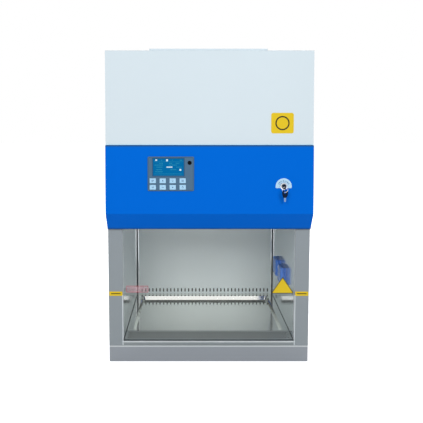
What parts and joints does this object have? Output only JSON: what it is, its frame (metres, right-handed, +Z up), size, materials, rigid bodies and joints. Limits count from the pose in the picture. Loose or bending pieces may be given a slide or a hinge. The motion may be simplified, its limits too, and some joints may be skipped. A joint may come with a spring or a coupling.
{
  "type": "biosafety cabinet",
  "caption": "Compact bench-top class II biosafety cabinet: a counterbalanced glass sash over a stainless work chamber, a folded control hood, filters and a blower above, and a lift-out tray.",
  "frame": {"origin": "middle of the underside of the base, on the bench", "axes": "+Z up, +X to the right as the user sees it, the open front faces -Y"},
  "size_m": [0.7, 0.6823, 1.103],
  "materials": {
    "frame_grey": "satin",
    "stainless": "satin",
    "aluminium": "satin",
    "panel_white": "satin",
    "black_plastic": "satin",
    "hood_blue": "satin",
    "screw_steel": "satin",
    "lamp_cover": "gloss",
    "white_plastic": "satin",
    "uv_glass": "gloss",
    "galvanised": "satin",
    "filter_paper": "matte",
    "motor_black": "satin",
    "sash_glass": "gloss",
    "weight_steel": "matte",
    "bezel_grey": "satin",
    "display_blue": "gloss",
    "key_blue": "satin",
    "chrome": "polished",
    "clear_blue": "gloss"
  },
  "bodies": {
    "cabinet": {"base_pan": "frame_grey", "front_sill": "stainless", "left_post": "frame_grey", "right_post": "frame_grey", "left_sash_guide": "aluminium", "right_sash_guide": "aluminium", "left_side_panel": "panel_white", "right_side_panel": "panel_white", "left_chamber_wall": "stainless", "right_chamber_wall": "stainless", "rear_panel": "panel_white", "power_inlet": "black_plastic", "top_panel": "panel_white", "exhaust_guard": "panel_white", "upper_front_panel": "panel_white", "control_hood": "hood_blue", "panel_screws": "screw_steel", "back_chamber_wall": "stainless", "drain_pan": "stainless", "supply_diffuser": "stainless", "work_lamp": "lamp_cover", "lamp_holders": "white_plastic", "uv_lamp": "uv_glass", "plenum_box": "galvanised", "supply_filter_frame": "aluminium", "exhaust_filter_frame": "aluminium", "filter_media": "filter_paper", "blower_housing": "galvanised", "blower_motor": "motor_black", "sash_cables": "screw_steel", "pulley_brackets": "galvanised", "control_bezel": "bezel_grey", "lcd_window": "display_blue", "infrared_window": "black_plastic", "switch_scale": "white_plastic", "switch_body": "chrome", "socket_bases": "white_plastic"},
    "sash": {"sash_glass": "sash_glass", "sash_clamps": "aluminium"},
    "left_weight": {"left_counterweight": "weight_steel"},
    "right_weight": {"right_counterweight": "weight_steel"},
    "left_wheel": {"left_pulley": "white_plastic"},
    "right_wheel": {"right_pulley": "white_plastic"},
    "key_switch": {"switch_barrel": "chrome", "inserted_key": "black_plastic"},
    "ring": {"key_ring": "chrome"},
    "spare": {"spare_key": "black_plastic"},
    "front_lid": {"front_socket_lid": "clear_blue"},
    "rear_lid": {"rear_socket_lid": "clear_blue"},
    "tray": {"work_tray": "stainless"},
    "grille": {"front_grille": "stainless"},
    "fan": {"blower_wheel": "galvanised"},
    "button_1": {"key_1": "key_blue"},
    "button_2": {"key_2": "key_blue"},
    "button_3": {"key_3": "key_blue"},
    "button_4": {"key_4": "key_blue"},
    "button_5": {"key_5": "key_blue"},
    "button_6": {"key_6": "key_blue"},
    "button_7": {"key_7": "key_blue"},
    "button_8": {"key_8": "key_blue"}
  },
  "joints": [
    {"name": "sash_slide", "type": "slide", "parent": "cabinet", "child": "sash", "axis": [0, 0, 1], "range_m": [-0.166, 0.233], "deforming": ["sash_cables"]},
    {"name": "left_weight_slide", "type": "slide", "parent": "cabinet", "child": "left_weight", "axis": [0, 0, 1], "range_m": [-0.234, 0.167]},
    {"name": "right_weight_slide", "type": "slide", "parent": "cabinet", "child": "right_weight", "axis": [0, 0, 1], "range_m": [-0.234, 0.167]},
    {"name": "left_pulley_turn", "type": "hinge", "parent": "cabinet", "child": "left_wheel", "pos_m": [-0.311, -0.2885, 1.01], "axis": [0, -1, 0], "range_deg": [-640, 895]},
    {"name": "right_pulley_turn", "type": "hinge", "parent": "cabinet", "child": "right_wheel", "pos_m": [0.311, -0.2885, 1.01], "axis": [0, 1, 0], "range_deg": [-640, 895]},
    {"name": "switch_turn", "type": "hinge", "parent": "cabinet", "child": "key_switch", "pos_m": [0.249, -0.34456, 0.62899], "axis": [0, -0.9989, 0.0477], "range_deg": [-45, 45]},
    {"name": "ring_hang", "type": "hinge", "parent": "key_switch", "child": "ring", "pos_m": [0.249, -0.37353, 0.63038], "axis": [0, -0.9989, 0.0477], "range_deg": [-45, 45]},
    {"name": "spare_swing", "type": "hinge", "parent": "ring", "child": "spare", "pos_m": [0.249, -0.37353, 0.61238], "axis": [0.4226, -0.9063, 0], "range_deg": [-25, 25]},
    {"name": "front_lid_hinge", "type": "hinge", "parent": "cabinet", "child": "front_lid", "pos_m": [0.2885, -0.083, 0.281], "axis": [0, 1, 0], "range_deg": [0, 110]},
    {"name": "rear_lid_hinge", "type": "hinge", "parent": "cabinet", "child": "rear_lid", "pos_m": [0.2885, 0.034, 0.281], "axis": [0, 1, 0], "range_deg": [0, 110]},
    {"name": "tray_lift", "type": "slide", "parent": "cabinet", "child": "tray", "axis": [0, 0, 1], "range_m": [0, 0.12]},
    {"name": "grille_lift", "type": "slide", "parent": "cabinet", "child": "grille", "axis": [0, 0, 1], "range_m": [0, 0.06]},
    {"name": "fan_turn", "type": "hinge", "parent": "cabinet", "child": "fan", "pos_m": [0.04, 0.166, 0.85], "axis": [0, 1, 0], "continuous": true},
    {"name": "button_1_press", "type": "slide", "parent": "cabinet", "child": "button_1", "axis": [0, 0.9989, -0.0477], "range_m": [0, 0.0012], "stiffness_N_per_m": 600},
    {"name": "button_2_press", "type": "slide", "parent": "cabinet", "child": "button_2", "axis": [0, 0.9989, -0.0477], "range_m": [0, 0.0012], "stiffness_N_per_m": 600},
    {"name": "button_3_press", "type": "slide", "parent": "cabinet", "child": "button_3", "axis": [0, 0.9989, -0.0477], "range_m": [0, 0.0012], "stiffness_N_per_m": 600},
    {"name": "button_4_press", "type": "slide", "parent": "cabinet", "child": "button_4", "axis": [0, 0.9989, -0.0477], "range_m": [0, 0.0012], "stiffness_N_per_m": 600},
    {"name": "button_5_press", "type": "slide", "parent": "cabinet", "child": "button_5", "axis": [0, 0.9989, -0.0477], "range_m": [0, 0.0012], "stiffness_N_per_m": 600},
    {"name": "button_6_press", "type": "slide", "parent": "cabinet", "child": "button_6", "axis": [0, 0.9989, -0.0477], "range_m": [0, 0.0012], "stiffness_N_per_m": 600},
    {"name": "button_7_press", "type": "slide", "parent": "cabinet", "child": "button_7", "axis": [0, 0.9989, -0.0477], "range_m": [0, 0.0012], "stiffness_N_per_m": 600},
    {"name": "button_8_press", "type": "slide", "parent": "cabinet", "child": "button_8", "axis": [0, 0.9989, -0.0477], "range_m": [0, 0.0012], "stiffness_N_per_m": 600}
  ],
  "couplings": [
    {"joint": "left_weight_slide", "follows": "sash_slide", "ratio": -1},
    {"joint": "right_weight_slide", "follows": "sash_slide", "ratio": -1},
    {"joint": "left_pulley_turn", "follows": "sash_slide", "rad_per_m": 66.667},
    {"joint": "right_pulley_turn", "follows": "sash_slide", "rad_per_m": 66.667},
    {"joint": "ring_hang", "follows": "switch_turn", "ratio": -1}
  ]
}
